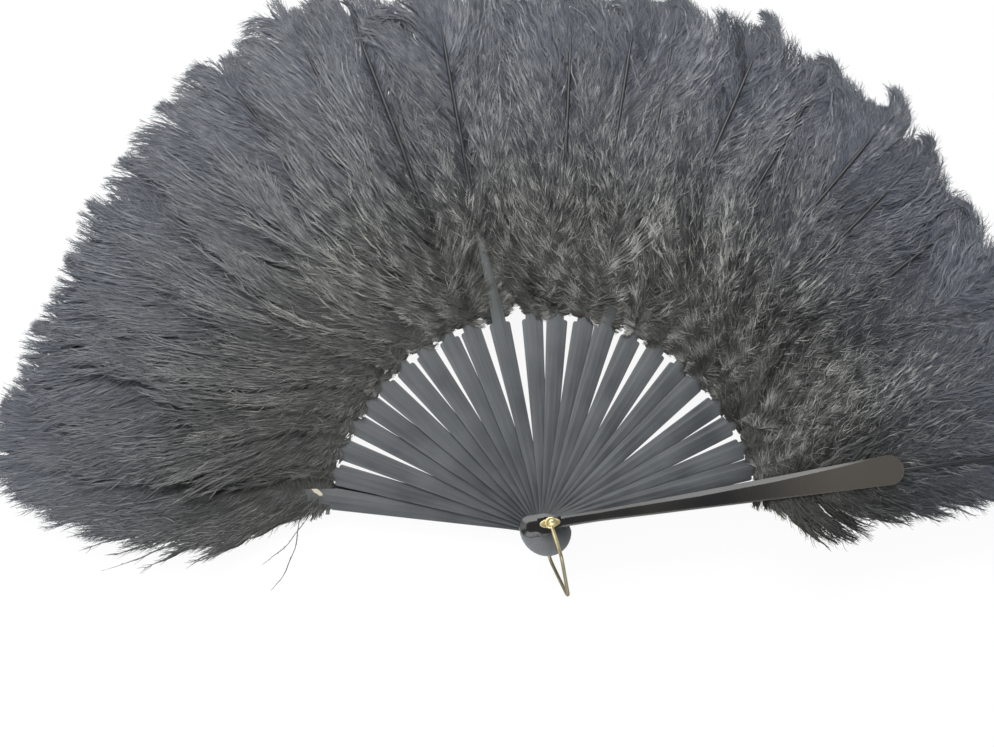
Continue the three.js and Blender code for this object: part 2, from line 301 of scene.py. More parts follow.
def blackLacquer():
    material, tree, shader = newMaterial("black lacquer on hardwood", IOR=1.5)
    place = addNode(tree, "ShaderNodeTexCoord")
    handled = addNode(tree, "ShaderNodeTexNoise", {"Scale": perMetre(lacquer["handled"]), "Detail": 5.0},
                      {"Vector": place.outputs["Object"]})
    speck = addNode(tree, "ShaderNodeTexNoise", {"Scale": perMetre(lacquer["speck"]), "Detail": 1.0},
                    {"Vector": place.outputs["Object"]})
    shade = addNode(tree, "ShaderNodeValToRGB", links={"Fac": handled.outputs["Fac"]})
    setRamp(shade, [(0.4, lacquer["deep"]), (0.75, lacquer["thin"])])
    parts = addNode(tree, "ShaderNodeSeparateXYZ", links={0: place.outputs["Object"]})
    # painted sheen: lighter and browner towards the tip
    paintedSheenShare = addNode(tree, "ShaderNodeMapRange",
                   {"From Min": lacquer["paintedSheenFrom"] * mm, "From Max": lacquer["paintedSheenTo"] * mm},
                   {"Value": parts.outputs["X"]}, interpolation_type="SMOOTHSTEP")
    colour = addNode(tree, "ShaderNodeMix", {7: hexToLinear(lacquer["paintedSheen"])},
                     {0: paintedSheenShare.outputs[0], 6: shade.outputs["Color"]}, data_type="RGBA")
    gloss = addNode(tree, "ShaderNodeMapRange",
                    {**mostNoise, "To Min": lacquer["roughLow"], "To Max": lacquer["roughHigh"]},
                    {"Value": handled.outputs["Fac"]})
    orangePeel = addNode(tree, "ShaderNodeBump", {"Strength": lacquer["relief"], "Distance": reliefDepth},
                         {"Height": speck.outputs["Fac"]})
    linkShader(tree, shader, Base_Color=colour.outputs[2], Roughness=gloss.outputs[0],
               Normal=orangePeel.outputs[0])
    return material


# Brass, drawn or turned and then handled: pale yellow metal, dulled to olive grey away from the rivet
brassFinish = dict(
    bright="#eadba9", aged="#cdbd8c", dull="#716e5f",
    patch=6.0, drawn=0.35, relief=0.12, roughLow=0.3, roughHigh=0.45,
    dullFrom=9.0, dullTo=20.0, dullMost=0.85,  # mm from the rivet, and the largest share
)


def handledBrass():
    material, tree, shader = newMaterial("handled brass", Metallic=1.0)
    place = addNode(tree, "ShaderNodeTexCoord")
    patches = addNode(tree, "ShaderNodeTexNoise", {"Scale": perMetre(brassFinish["patch"]), "Detail": 5.0},
                      {"Vector": place.outputs["Object"]})
    drawn = addNode(tree, "ShaderNodeTexNoise", {"Scale": perMetre(brassFinish["drawn"]), "Detail": 2.0},
                    {"Vector": place.outputs["Object"]})
    shade = addNode(tree, "ShaderNodeValToRGB", links={"Fac": patches.outputs["Fac"]})
    setRamp(shade, [(0.42, brassFinish["bright"]), (0.65, brassFinish["aged"])])
    parts = addNode(tree, "ShaderNodeSeparateXYZ", links={0: place.outputs["Object"]})
    reach = addNode(tree, "ShaderNodeMapRange",
                    {"From Min": brassFinish["dullFrom"] * mm, "From Max": brassFinish["dullTo"] * mm,
                     "To Max": brassFinish["dullMost"]}, {"Value": parts.outputs["X"]})
    colour = addNode(tree, "ShaderNodeMix", {7: hexToLinear(brassFinish["dull"])},
                     {0: reach.outputs[0], 6: shade.outputs["Color"]}, data_type="RGBA")
    gloss = addNode(tree, "ShaderNodeMapRange",
                    {**mostNoise, "To Min": brassFinish["roughLow"], "To Max": brassFinish["roughHigh"]},
                    {"Value": patches.outputs["Fac"]})
    lines = addNode(tree, "ShaderNodeBump", {"Strength": brassFinish["relief"], "Distance": reliefDepth},
                    {"Height": drawn.outputs["Fac"]})
    linkShader(tree, shader, Base_Color=colour.outputs[2], Roughness=gloss.outputs[0],
               Normal=lines.outputs[0])
    return material


def nodePoints(name):
    return np.array([v.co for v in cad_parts[name].data.vertices]) / mm


def nodeReach(name):  # how far a piece reaches from the rivet, in mm
    return np.hypot(*nodePoints(name)[:, :2].T).max()


def nodeAngle(name):  # which way a piece points, from its last half millimetre
    points = nodePoints(name)[:, :2]
    reach = np.hypot(*points.T)
    end = points[reach > reach.max() - 0.5].mean(axis=0)
    return math.atan2(end[1], end[0])


def nodeHeights(name):
    low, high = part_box(name)
    return low.z / mm, high.z / mm


def addPiece(name, mesh, material, body, replaced, angle=0.0, height=0.0, flipped=False):
    piece = bpy.data.objects.new(name, mesh)
    bpy.context.scene.collection.objects.link(piece)
    piece.rotation_euler = (math.pi if flipped else 0.0, 0.0, angle)
    piece.location.z = height * mm
    if not mesh.materials:
        mesh.materials.append(material)
    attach(piece, body)
    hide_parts(replaced)
    return piece


def closeMesh(build, mesh, flatFrom=2.0):  # welds points, turns faces outwards, smooths all but flat ones
    bmesh.ops.remove_doubles(build, verts=build.verts, dist=weldGap)
    bmesh.ops.recalc_face_normals(build, faces=build.faces)
    for face in build.faces:
        face.smooth = abs(face.normal.z) < flatFrom
    build.to_mesh(mesh)
    build.free()


def meshFromFaces(name, points, faces, sharpAngle=None):  # points in mm
    mesh = bpy.data.meshes.new(name)
    build = bmesh.new()
    corners = [build.verts.new(Vector(point) * mm) for point in points]
    for face in faces:
        build.faces.new([corners[i] for i in face])
    closeMesh(build, mesh)
    if sharpAngle:
        mesh.set_sharp_from_angle(angle=math.radians(sharpAngle))
    return mesh


def tubeFaces(centres, radii, sides, flatAxis):  # a tube whose path stays square to flatAxis, in mm
    centres = np.asarray(centres, float)
    tangent = np.gradient(centres, axis=0)
    tangent /= np.linalg.norm(tangent, axis=1)[:, None]
    other = np.cross(tangent, flatAxis)
    other /= np.linalg.norm(other, axis=1)[:, None]
    turn = (np.arange(sides) * 2 * math.pi / sides)[None, :, None]
    around = np.cos(turn) * np.asarray(flatAxis, float) + np.sin(turn) * other[:, None]
    rings = centres[:, None] + np.asarray(radii)[:, None, None] * around
    first = np.arange(len(centres) - 1)[:, None] * sides
    here = first + np.arange(sides)
    beside = first + (np.arange(sides) + 1) % sides
    quads = np.stack([here, beside, beside + sides, here + sides], axis=-1).reshape(-1, 4)
    return rings.reshape(-1, 3), quads


def ringFaces(rings, around):  # quads between closed rings of points
    faces = []
    for ring in range(rings - 1):
        for i in range(around):
            here, beside = ring * around + i, ring * around + (i + 1) % around
            faces.append((here, beside, beside + around, here + around))
    return faces


def latheFaces(profile, sides):  # profile of (radius, height) in mm, round the Z axis
    turn = np.arange(sides) * 2 * math.pi / sides
    points = [(r * math.cos(a), r * math.sin(a), z) for r, z in profile for a in turn]
    return points, ringFaces(len(profile), sides)


def plateMesh(name, loops, thickness, edge):  # a flat plate from outlines in mm, with its edges eased
    data = bpy.data.curves.new(name, "CURVE")
    data.dimensions = "2D"
    data.fill_mode = "BOTH"
    data.extrude = (thickness / 2 - edge) * mm
    data.bevel_depth = edge * mm
    data.bevel_resolution = 1
    data.offset = -edge * mm
    for loop in loops:
        spline = data.splines.new("POLY")
        spline.points.add(len(loop) - 1)
        spline.points.foreach_set("co", [c for x, y in loop for c in (x * mm, y * mm, 0.0, 1.0)])
        spline.use_cyclic_u = True
    holder = bpy.data.objects.new(name, data)
    bpy.context.scene.collection.objects.link(holder)
    bpy.context.view_layer.update()
    mesh = bpy.data.meshes.new_from_object(holder.evaluated_get(bpy.context.evaluated_depsgraph_get()))
    bpy.data.objects.remove(holder)
    bpy.data.curves.remove(data)
    build = bmesh.new()
    build.from_mesh(mesh)
    closeMesh(build, mesh, flatFrom=0.99)
    mesh.set_sharp_from_angle(angle=math.radians(60))
    mesh.materials.clear()
    return mesh


def arc(centre, radius, start, stop):  # degrees from start to stop
    turns = np.radians(np.linspace(start, stop, holeSteps))
    return [(centre + radius * math.cos(a), radius * math.sin(a)) for a in turns]


def cutOrJoin(mesh, other, operation):  # one boolean step between two meshes
    first = bpy.data.objects.new("first", mesh)
    second = bpy.data.objects.new("second", other)
    for holder in (first, second):
        bpy.context.scene.collection.objects.link(holder)
    step = first.modifiers.new("step", "BOOLEAN")
    step.operation = operation
    step.solver = "EXACT"
    step.object = second
    bpy.context.view_layer.update()
    done = bpy.data.meshes.new_from_object(first.evaluated_get(bpy.context.evaluated_depsgraph_get()))
    for holder in (first, second):
        bpy.data.objects.remove(holder)
    return done


def smoothMesh(mesh, name, sharpAngle):
    mesh.name = name
    for polygon in mesh.polygons:
        polygon.use_smooth = True
    mesh.set_sharp_from_angle(angle=math.radians(sharpAngle))
    return mesh


def makeSticks():
    low, high = nodeHeights("stick_01")
    head, half, neck, tip = (slat[key] / 2 for key in ("headWidth", "width", "tongueWidth", "tongueTip"))
    end, shoulder, ease = nodeReach("stick_01"), slat["shoulder"], slat["shoulderEase"]
    left = slat["easeLeft"] * ease
    upper = [(slat["headRadius"], head), (shoulder - ease, half), (shoulder - left, half - left),
             (shoulder, half - ease), (shoulder, neck), (end - tip / 2, tip), (end, tip / 2)]
    lower = [(x, -y) for x, y in reversed(upper)]
    splintered = lower[:2] + slat["splinter"] + lower[5:]
    tail = arc(head - slat["tail"], head, 270, 90)
    hole = arc(0, slat["hole"], 0, 345)
    plain = ebonisedWood("ebonised hardwood")
    chipped = ebonisedWood("ebonised hardwood, chipped", slat["chip"])
    for number in stickNumbers:
        name = f"stick_{number}"
        last = number == stickNumbers[-1]
        outline = tail + upper + (splintered if last else lower)
        mesh = plateMesh(f"slat_{number}", [outline, hole], high - low, slat["easedEdge"])
        addPiece(f"slat_{number}", mesh, chipped if last else plain, name, name,
                 nodeAngle(name), sum(nodeHeights(name)) / 2)


makeSticks()
print("sticks made")


# Guards
guard = dict(
    tail=16.5, headWidth=12.0, headEnd=-3.0, neckWidth=5.8, neckStart=7.0, neckEnd=28.0,  # mm
    tipWidth=17.0,
    upperFacet=((-16, 3.6), (-3, 3.6), (8, 1.5), (40, 1.7), (85, 2.9), (130, 2.9), (165, 1.9), (190, 0.8),
                (205, 0.8)),  # width of each facet at distances from the rivet
    lowerFacet=((-16, 2.6), (-8, 2.6), (-4, 0.7), (205, 0.7)), facetLeast=0.2,
    upperFall=0.38, lowerFall=((-16, 0.55), (-8, 0.55), (-4, 0.9), (205, 0.9)),  # mm down per mm across
    footEase=(0.05, 0.12), ridgeEase=(0.93, 0.1),  # eased edges: share of the facet, and mm of height
    slope=0.35, crown=0.25, strips=6,  # fall and bulge of the face, and strips across it
    padLength=13.0, padDrop=0.4, rebateAt=123.7, rebate=1.0, stepRun=0.05,
    hole=1.55, bore=(-1.0, 9.0), sharpAngle=18.0,
    roundSteps=16, runSteps=(8, 16, 8, 60),  # stations round each end, and from the tail to the tip
)


def guardEdge(length):  # stations from the tail to the tip, with the half width at each
    head, neck, tip = (guard[key] / 2 for key in ("headWidth", "neckWidth", "tipWidth"))
    tailCentre, tipCentre = head - guard["tail"], length - tip
    turn = np.linspace(0, math.pi / 2, guard["roundSteps"])
    pad, step, rebate = guard["padLength"] / 2, guard["stepRun"], guard["rebateAt"]
    ends = (tailCentre, guard["headEnd"], guard["neckStart"], guard["neckEnd"], tipCentre)
    runs = [np.linspace(*run)[1:] for run in zip(ends, ends[1:], guard["runSteps"])]
    runs.append([-pad - step, -pad, pad, pad + step, rebate - step, rebate])
    middle = np.unique(np.concatenate(runs))
    drawn = np.clip((middle - guard["headEnd"]) / (guard["neckStart"] - guard["headEnd"]), 0, 1)
    flared = np.clip((middle - guard["neckEnd"]) / (tipCentre - guard["neckEnd"]), 0, 1)
    half = head + (neck - head) * drawn * drawn * (3 - 2 * drawn) + (tip - neck) * flared
    stations = [tailCentre - head * np.cos(turn), middle, tipCentre + tip * np.sin(turn[1:])]
    return np.concatenate(stations), np.concatenate([head * np.sin(turn), half, tip * np.cos(turn[1:])])


def guardRings(length, thickness):  # rings of points from the back's outline up to the edge of the face
    along, half = guardEdge(length)
    half[0] = half[-1] = 0.0
    loop = np.column_stack([np.append(along, along[-2:0:-1]), np.append(half, -half[-2:0:-1])])
    tangent = np.roll(loop, -1, axis=0) - np.roll(loop, 1, axis=0)
    tangent /= np.linalg.norm(tangent, axis=1)[:, None]
    outward = np.column_stack([-tangent[:, 1], tangent[:, 0]])
    upperShare = 0.5 + 0.5 * outward[:, 1]
    facet, lowerFacet, lowerFall = (np.interp(loop[:, 0], *zip(*guard[key]))
                                    for key in ("upperFacet", "lowerFacet", "lowerFall"))
    inset = lowerFacet + (facet - lowerFacet) * upperShare
    ridge = thickness - guard["slope"] * (1 - upperShare)
    fall = lowerFall + (guard["upperFall"] - lowerFall) * upperShare
    foot = ridge - inset * fall
    padTop = thickness - guard["padDrop"]
    onPad = np.abs(loop[:, 0]) < (guard["padLength"] + guard["stepRun"]) / 2
    padInset = np.maximum(padTop - foot, guard["facetLeast"]) / fall  # the facet keeps its slope at the pad
    inset = np.where(onPad, padInset, inset)
    ridge = np.where(onPad, np.minimum(ridge, padTop), ridge)
    below = np.where(loop[:, 0] > guard["rebateAt"] - guard["stepRun"] / 2, guard["rebate"], 0.0)
    (footShare, footRise), (ridgeShare, ridgeDrop) = guard["footEase"], guard["ridgeEase"]
    rings = []
    for share, heights in ((0, below), (0, foot), (footShare, foot + footRise),
                           (ridgeShare, ridge - ridgeDrop), (1, ridge)):
        place = loop - outward * (inset * share)[:, None]
        rings.append(np.column_stack([place, np.where(onPad, np.minimum(heights, padTop), heights)]))
    return rings, len(along)


def guardMesh(name, length, thickness):  # face up, upper edge towards +Y
    rings, count = guardRings(length, thickness)
    around, strips = len(rings[0]), guard["strips"]
    points = np.concatenate(rings).tolist()
    faces = ringFaces(len(rings), around)
    for ring, bulge in ((len(rings) - 1, guard["crown"]), (0, 0.0)):  # the face, then the back
        ladder = []
        for i in range(count):
            across = (2 * count - 2 - i) % around
            left, right = rings[ring][i], rings[ring][across]
            row = [ring * around + i]
            for strip in range(1, strips):
                share = strip / strips
                middle = left + (right - left) * share
                rise = bulge * 4 * share * (1 - share) * min(1.0, (left[1] - right[1]) / guard["neckWidth"])
                if abs(middle[0]) >= (guard["padLength"] + guard["stepRun"]) / 2:  # the pad stays flat
                    middle[2] += rise
                row.append(len(points))
                points.append(middle.tolist())
            row.append(ring * around + across)
            ladder.append(row)
        for upper, lower in zip(ladder, ladder[1:]):
            for i in range(strips):
                faces.append((upper[i], upper[i + 1], lower[i + 1], lower[i]))
    kept = {}
    for face in faces:  # at both ends, some corners are one point
        corners = tuple(dict.fromkeys(face))
        if len(corners) > 2:
            kept.setdefault(frozenset(corners), corners)
    mesh = meshFromFaces(name, points, kept.values())
    low, high = guard["bore"]
    bore = [(0, low), (guard["hole"], low), (guard["hole"], high), (0, high)]
    mesh = cutOrJoin(mesh, meshFromFaces("bore", *latheFaces(bore, holeSteps)), "DIFFERENCE")
    return smoothMesh(mesh, name, guard["sharpAngle"])


def makeGuards():
    finish = blackLacquer()
    low, high = nodeHeights("front_guard")
    mesh = guardMesh("front_guard_stick", nodeReach("front_guard"), high - low)
    addPiece("front_guard_stick", mesh, finish, "front_guard", "front_guard",
             nodeAngle("front_guard"), low)
    addPiece("rear_guard_stick", mesh.copy(), finish, "rear_guard", "rear_guard",
             nodeAngle("rear_guard"), nodeHeights("rear_guard")[1], flipped=True)


makeGuards()
print("guards made")


# Rivet, washers and bail
brass = dict(
    shank=1.25, ball=2.15, rearHead=2.7, rearHeight=1.4, rearChamfer=0.5,  # radii and heights in mm
    washerLength=11.5, washerWidth=5.0, washerEdge=0.12, hole=1.55,
    wire=1.0, eye=3.2, eyeHeight=1.6, eyeEase=0.35, bend=19.0, endRadius=3.0, bendRound=1.5, capRun=0.01,
    chamferSteps=6, ballSteps=20, turnedSides=40, ovalSteps=48, legSteps=60, endSteps=20, wireSides=16,
    rivetSharp=40.0, bailSharp=50.0,  # degrees
)


def rivetMesh(top):
    ball, chamfer = brass["ball"], brass["rearChamfer"]
    profile = [(0, 0), (brass["rearHead"] - chamfer, 0)]
    for share in np.linspace(0, 1, brass["chamferSteps"])[1:]:
        turn = share * math.pi / 2
        profile.append((brass["rearHead"] - chamfer * (1 - math.sin(turn)), chamfer * (1 - math.cos(turn))))
    profile += [(brass["rearHead"], brass["rearHeight"]), (brass["shank"], brass["rearHeight"])]
    for turn in np.linspace(-math.acos(brass["shank"] / ball), math.pi / 2, brass["ballSteps"]):
        profile.append((ball * math.cos(turn), top - ball + ball * math.sin(turn)))
    profile[-1] = (0, top)
    return meshFromFaces("rivet_brass", *latheFaces(profile, brass["turnedSides"]), brass["rivetSharp"])


def bailMesh(reach, low, high):  # lies along +X, turned to its place later
    wire, bend, endRadius, bendRound = (brass[key] for key in ("wire", "bend", "endRadius", "bendRound"))
    middle = (low + high) / 2
    legHalf = (high - low) / 2 - wire
    endCentre = reach - wire - endRadius
    span = math.hypot(endCentre - bend, legHalf)
    slope = math.atan2(legHalf, endCentre - bend) - math.asin(endRadius / span)
    meet = endCentre + endRadius * math.sin(slope)
    leg = np.linspace((brass["hole"] + brass["eye"]) / 2, meet, brass["legSteps"])
    past = leg - bend
    gap = legHalf - math.tan(slope) * (past + np.hypot(past, bendRound)) / 2
    gap -= gap[-1] - endRadius * math.cos(slope)
    gap[leg < bend - 3 * bendRound] = legHalf  # straight until it nears the bend
    turn = np.linspace(math.pi / 2 - slope, slope - math.pi / 2, brass["endSteps"])[1:-1]
    x = np.concatenate([leg, endCentre + endRadius * np.cos(turn), leg[::-1]])
    z = np.concatenate([middle + gap, middle + endRadius * np.sin(turn), middle - gap[::-1]])
    path = np.column_stack([x, np.zeros(len(x)), z])
    path = np.concatenate([path[:1], path, path[-1:]])
    path[0, 0] -= brass["capRun"]
    path[-1, 0] -= brass["capRun"]
    radii = np.full(len(path), wire)
    radii[0] = radii[-1] = 0.0
    mesh = meshFromFaces("bail_wire", *tubeFaces(path, radii, brass["wireSides"], (0, 1, 0)))
    inner, outer, tall, ease = brass["hole"], brass["eye"], brass["eyeHeight"] / 2, brass["eyeEase"]
    for height in (middle - legHalf, middle + legHalf):
        ring = [(inner + ease, height - tall), (outer - ease, height - tall), (outer, height - tall + ease),
                (outer, height + tall - ease), (outer - ease, height + tall), (inner + ease, height + tall),
                (inner, height + tall - ease), (inner, height - tall + ease), (inner + ease, height - tall)]
        mesh = cutOrJoin(mesh, meshFromFaces("eye", *latheFaces(ring, brass["turnedSides"])), "UNION")
    return smoothMesh(mesh, "bail_wire", brass["bailSharp"])


def makeBrassware():
    finish = handledBrass()
    addPiece("rivet_brass", rivetMesh(nodeHeights("rivet")[1]), finish, "rear_guard", "rivet")
    turns = np.linspace(0, 2 * math.pi, brass["ovalSteps"], endpoint=False)
    long, wide = brass["washerLength"] / 2, brass["washerWidth"] / 2
    loops = [[(long * math.cos(a), wide * math.sin(a)) for a in turns], arc(0, brass["hole"], 0, 345)]
    for place in ("front", "rear"):
        low, high = nodeHeights(f"{place}_washer")
        mesh = plateMesh(f"{place}_washer_brass", loops, high - low, brass["washerEdge"])
        addPiece(f"{place}_washer_brass", mesh, finish, f"{place}_guard", f"{place}_washer",
                 nodeAngle(f"{place}_guard"), (low + high) / 2)
    mesh = bailMesh(nodeReach("bail"), *nodeHeights("bail"))
    addPiece("bail_wire", mesh, finish, "bail", "bail", nodeAngle("bail"))


makeBrassware()
print("rivet, washers and bail made")


# Plumes: each is a shaft with a vane of barbs on either side, and every barb carries fine barbules.
# Tables run from 0 to 1: along the shaft, along a barb, or from the right plumes to the left ones
plume = dict(
    # outline, in mm from the rivet
    root=122.0, shaftRoot=126.0, shaftShort=18.0,  # the shaft ends short of the rim
    rim=((0, 322), (0.15, 324), (0.23, 336), (0.35, 340), (0.42, 326), (0.5, 316), (0.58, 325), (0.65, 338),
         (0.72, 324), (0.77, 315), (0.82, 308), (0.88, 300), (1, 302)),
    sideWidth=((121, 7), (130, 10), (154, 23), (177, 38), (200, 45), (214, 48), (242, 48), (300, 44),
               (345, 42)),  # half width at distances from the rivet
    capLength=30.0, capWidth=((0, 38), (0.55, 40), (0.75, 46), (1, 46)),  # the rounded end
    # how far barbs go out and ahead
    forward=((0, 4), (0.03, 18), (0.08, 40), (0.2, 58), (0.4, 60), (0.6, 53), (0.8, 42), (0.93, 30),
             (1, 18)),
    leftFrom=0.6, leftRun=0.3,  # where plumes turn into the broad left ones
    narrow=0.64, narrowOver=(0.03, 0.25),  # width of the others, and where along the shaft they narrow
    steep=((0.03, 1), (0.1, 1.3), (0.75, 1.3), (0.95, 1)),  # their forward sweep
    farLeftFrom=0.94, farRightTo=0.02,  # plumes whose outer vane has nothing beside it
    outerLeft=((0, 1), (0.15, 0.86), (0.4, 0.76), (0.7, 0.62), (1, 0.6)),  # width of that vane
    outerRight=((0, 1), (0.1, 1.05), (0.17, 0.95), (0.23, 1.1), (0.32, 0.95), (0.5, 1.0), (1, 1.05)),
    outerForward=0.62, outerSmooth=0.3, outerCurl=0.4,  # its forward sweep, waves and curls
    layBack=8.0, layBackOpen=2.5, layBackTo=0.06,  # mm that the first barbs lie back over the shoulders
    openGaps=("02", "06", "10", "12", "14", "16"),  # sticks with an open gap to their left
    thinInside={"08": 0.6, "12": 0.65, "22": 0.4},  # left vanes kept off the next stick's tongue
    thinOver=(0.22, 0.45),
    # how barbs bend, in degrees
    bend=((0, 12), (0.1, 20), (0.4, 18), (0.8, 14), (1, 6)),  # each way from the barb's chord
    curl=((0, 24), (0.15, 22), (0.35, 14), (0.7, 9), (1, 14)),  # of a clump's tips, either way
    curlMost=1.3, curlPower=2.5,
    hook=((0, 0), (0.6, 0), (0.78, 70), (0.88, 190), (1, 290)), hookPower=3,  # tips curl over to the left
    hookAtRight=1.15, hookFall=1.3, hookLeast=0.1, hookMean=0.75, hookByCurl=0.4, hookMost=1.2,
    hookLeft=((0, 0.3), (0.38, 0.3), (0.46, 1), (1, 1)),  # share of the hook on each side
    hookRight=((0, 1), (0.38, 1), (0.46, 0.6), (1, 0.6)),
    tipLeft=((0, 0.72), (0.38, 0.72), (0.46, 1.5), (0.6, 1.5), (0.9, 1)),  # stretch of each side at the tip
    tipRight=((0, 1.3), (0.38, 1.3), (0.46, 1), (1, 1)), tipOver=(0.84, 0.96),
    waveAngle=((0, 19), (0.42, 17), (0.55, 11), (0.7, 8), (1, 8)), waveLength=17.0, waveFrom=0.25,
    wisps={"23": ((34, 52, 1.0), (12, 20, 1.9), (88, 9, 1.25))},  # barb, degrees outwards, stretch
    wispWidth=0.5, wispFluff=0.2,
    # heights, in mm
    leftLift=((0, -1.5), (0.55, -1.5), (0.75, 2.4), (1, 2.4)),  # over liftPer mm of a barb
    rightDrop=((0, 0), (0.55, 0), (0.75, 2.6), (1, 2.6)), liftPer=60.0, liftShape=0.6,
    arch=0.04, archFall=1.2, rootRise=0.9, rootTuck=(0.08, 0.22), rootFall=(0.24, 0.36),
    # under the tongue: height, and shares of the shaft where barbs stay tucked and come free
    bareTongues={"13": (-0.7, 0.18, 0.3), "09": (-0.7, 0.04, 0.14), "23": (-0.7, 0.03, 0.08)},
    lowest=0.8,  # the floor keeps strands above this
    # how clumps, locks, barbs and barbules differ, in that order
    barbsPerSide=300, clumpsPerSide=16, locksPerSide=120, pathPoints=24, crowdRoot=1.1,
    turnBy=(3.0, 2.5, 3.5), stretchBy=(0.03, 0.025, 0.03), liftBy=(0.8, 0.5), rollBy=(14.0, 20.0, 10.0),
    toneBy=(0.09, 0.1, 0.08, 0.15), phaseByLock=1.2, crimpByLock=0.8, crimpByBarb=0.5,
    # barbs, dark strips below them as painted shade between the barbs, and barbules
    barbWidth=((0, 0.4), (0.25, 0.85), (0.8, 0.9), (1, 0.25)), barbVary=(0.8, 1.2), barbSteps=14,
    twistLength=16.0, twistAngle=32.0, paintedTwistSheen=((0, 0.62), (0.55, 0.62), (0.7, 0.15), (1, 0.1)),  # crimps; the last table is a painted sheen that lightens and darkens a strand as it twists
    paintedShadeWidth=((0, 1.8), (0.2, 3.2), (0.7, 3.2), (0.9, 0.5), (1, 0.2)), paintedShadeDrop=1.0, paintedShadeEvery=2,
    barbulesPerBarb=36, barbuleLength=(3.5, 9.0), barbuleRoom=0.4, barbulePast=1.06, barbuleSteps=4,
    barbuleWidth=0.3, barbuleTip=0.12, barbuleVary=(0.7, 1.3), barbuleTilt=0.16, barbuleRoll=(14.0, 20.0),
    barbuleAngle=((0, 22), (0.6, 17), (1, 13)), barbuleFlare=(1.3, 1.2),  # fluffier to the right
    rootFuzz=((0, 1.4), (0.3, 1), (1, 1)),
    # tones, from 0 dark to 1 light
    toneMiddle=0.5, toneTop=1.0, paintedShadeTone=0.16, barbDarker=0.12, shaftTone=0.4, outerRightTone=-0.3,
    contrast=((0, 1.2), (0.55, 1.3), (0.7, 0.6), (1, 0.35)),  # of the strands' tones
    toneVariety=((0.15, 1.35), (0.5, 1), (0.9, 0.7)),  # the rim's strands vary less
    toneBySpread=((0, -0.32), (0.08, -0.18), (0.2, -0.12), (0.5, 0), (0.66, 0.22), (0.8, -0.03), (1, -0.1)),
    toneByReach=((0, -0.1), (0.25, -0.04), (0.6, 0), (1, 0.04)),
    paintedGrooveShade=0.45,  # painted shade in the groove by the shaft: how much lighter a strand is at its end than at the shaft
    paintedShaftShadow=0.5, paintedShaftShadowTo=0.16,  # painted shadow of the shaft: strands darker beside a shaft that shows, up to this share of a strand
    # shaft: radii, and heights beside the barbs, in mm
    shaftThick=1.4, shaftThin=1.0, shaftEnd=0.02, shaftPoint=0.12, shaftBlunt=0.15,
    shaftRings=40, shaftSides=8, shaftsSeen=(0.14, 0.72),  # plumes whose shafts show
    shaftSink=-1.3, shaftRise=0.45, shaftRiseOver=(0.35, 0.55),
    boldShafts={"front": 3.0, "14": 2.4, "22": 2.2},
    leans={"14": 0.0, "22": 10.0}, leanVary=4.0, droop=(-4.0, 1.0),  # mm at the tip, sideways and in height
    firstSeed=100, uvColumns=14, uvBroadColumns=4, uvBand=0.03,
)


def valueAt(key, at):  # a value from one of the plume's tables
    places, values = zip(*plume[key])
    return np.interp(at, places, values)


def shaftShows(spread):
    low, high = plume["shaftsSeen"]
    return low < spread < high


def shaftPath(at, rim, lean, droop):  # the shaft's line in the plume's own frame, in mm
    run = rim - plume["shaftShort"] - plume["root"]
    return np.stack([plume["root"] + run * at, lean * at ** 2, droop * at ** 2], axis=-1)


def outlineWidth(along, rim, spread):  # half width of a plume at some distances from the rivet
    sides = np.interp(along, *zip(*plume["sideWidth"]))
    past = np.clip((along - rim + plume["capLength"]) / plume["capLength"], 0, 1)
    return np.minimum(sides, valueAt("capWidth", spread) * np.sqrt(1 - past ** 2))


def barbGroups(rng):  # where each barb leaves the shaft, and how its clump and its lock differ
    count, clumps, locks = (plume[key] for key in ("barbsPerSide", "clumpsPerSide", "locksPerSide"))
    side = np.repeat([-1.0, 1.0], count)
    at = ((np.tile(np.arange(count), 2) + rng.uniform(0, 1, 2 * count)) / count) ** plume["crowdRoot"]
    second = (side > 0).astype(int)
    clump = np.searchsorted(np.sort(rng.uniform(0, 1, clumps - 1)), at) + second * clumps
    lock = np.searchsorted(np.sort(rng.uniform(0, 1, locks - 1)), at) + second * locks
    clumpKeys = ("turn", "stretch", "lift", "curl", "tone", "roll")
    byClump = {key: rng.normal(0, 1, 2 * clumps)[clump] for key in clumpKeys}
    lockKeys = ("turn", "stretch", "lift", "tone", "roll")
    byLock = {key: rng.normal(0, 1, 2 * locks)[lock] for key in lockKeys}
    return dict(side=side, at=at, clump=clump, lock=lock, byClump=byClump, byLock=byLock)


def uneven(groups, key, start=0):  # a value for each barb that its clump and its lock change
    ofClump, ofLock = plume[f"{key}By"][:2]
    return start + ofClump * groups["byClump"][key] + ofLock * groups["byLock"][key]


def barbReach(at, side, base, rim, number, spread, farLeft, farRight):  # mm out and ahead for each barb
    leftness = np.clip((spread - plume["leftFrom"]) / plume["leftRun"], 0, 1)
    narrow = plume["narrow"] + (1 - plume["narrow"]) * leftness
    ahead = valueAt("forward", at)
    out = outlineWidth(base[:, 0] + ahead, rim, spread) * np.interp(at, plume["narrowOver"], (1, narrow))
    steep = valueAt("steep", at)
    ahead = ahead * np.where(farRight, plume["outerForward"], steep + (1 - steep) * leftness)
    openRight = [f"{int(stick) + 1:02d}" for stick in plume["openGaps"]]
    openHere = np.where(side > 0, number in plume["openGaps"], number in openRight)
    layBack = np.where(openHere, plume["layBackOpen"], plume["layBack"])
    ahead = ahead - layBack * np.interp(at, (0, plume["layBackTo"]), (1, 0))
    inside = plume["thinInside"].get(number, 1.0)
    out = np.where(side > 0, out * np.interp(at, plume["thinOver"], (inside, 1)), out)
    out *= np.where(farLeft, valueAt("outerLeft", at), np.where(farRight, valueAt("outerRight", at), 1))
    return out, ahead


